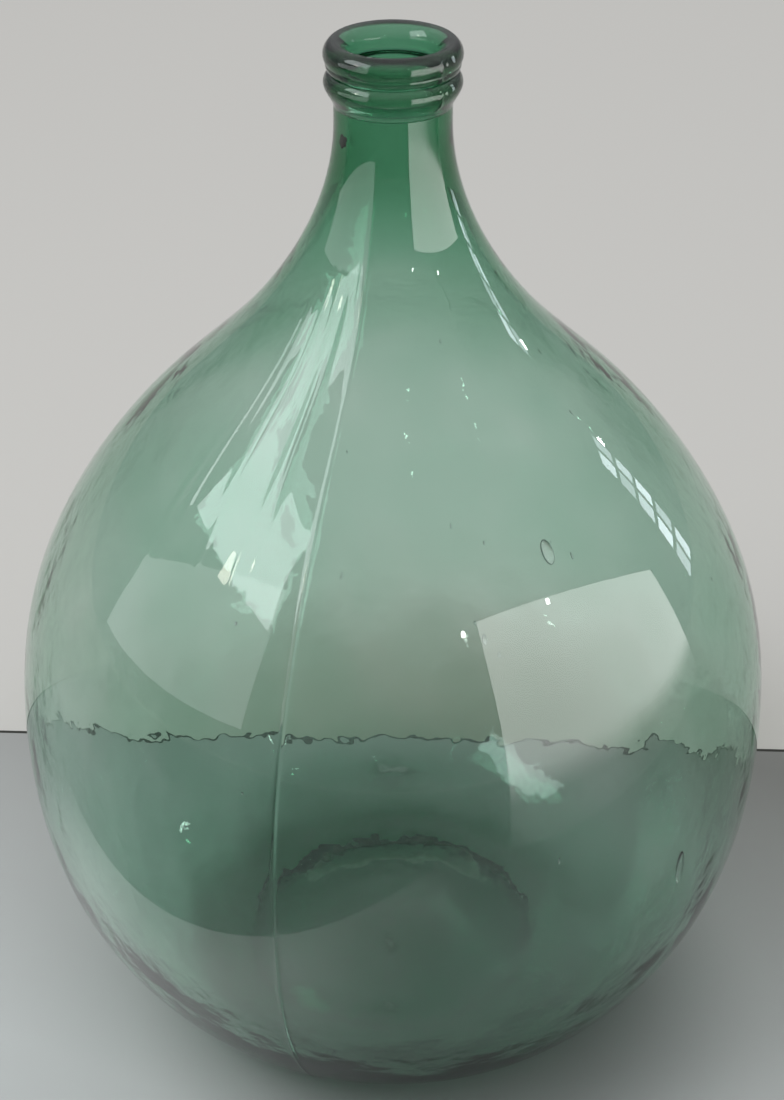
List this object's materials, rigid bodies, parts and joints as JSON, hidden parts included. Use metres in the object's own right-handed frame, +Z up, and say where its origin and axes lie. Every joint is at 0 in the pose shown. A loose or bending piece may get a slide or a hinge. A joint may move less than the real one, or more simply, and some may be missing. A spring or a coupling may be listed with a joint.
{
  "type": "glass carboy",
  "caption": "Large onion-shaped green glass carboy with a pushed-up base, a narrow neck and a double-ring open mouth, for fermenting and storing wine.",
  "frame": {"origin": "on the vessel's axis, in the plane of the bearing ring that it stands on", "axes": "+Z up along the axis of the body and neck, through the mouth; X and Y are free on this turned shape, and the two mould seams lie near -Y and +Y"},
  "size_m": [0.4612, 0.4612, 0.63],
  "materials": {
    "green_glass": "fire-polished, transparent green"
  },
  "bodies": {
    "root": {"glass_shell": "green_glass", "lip_ring": "green_glass", "collar_ring": "green_glass"}
  },
  "joints": []
}
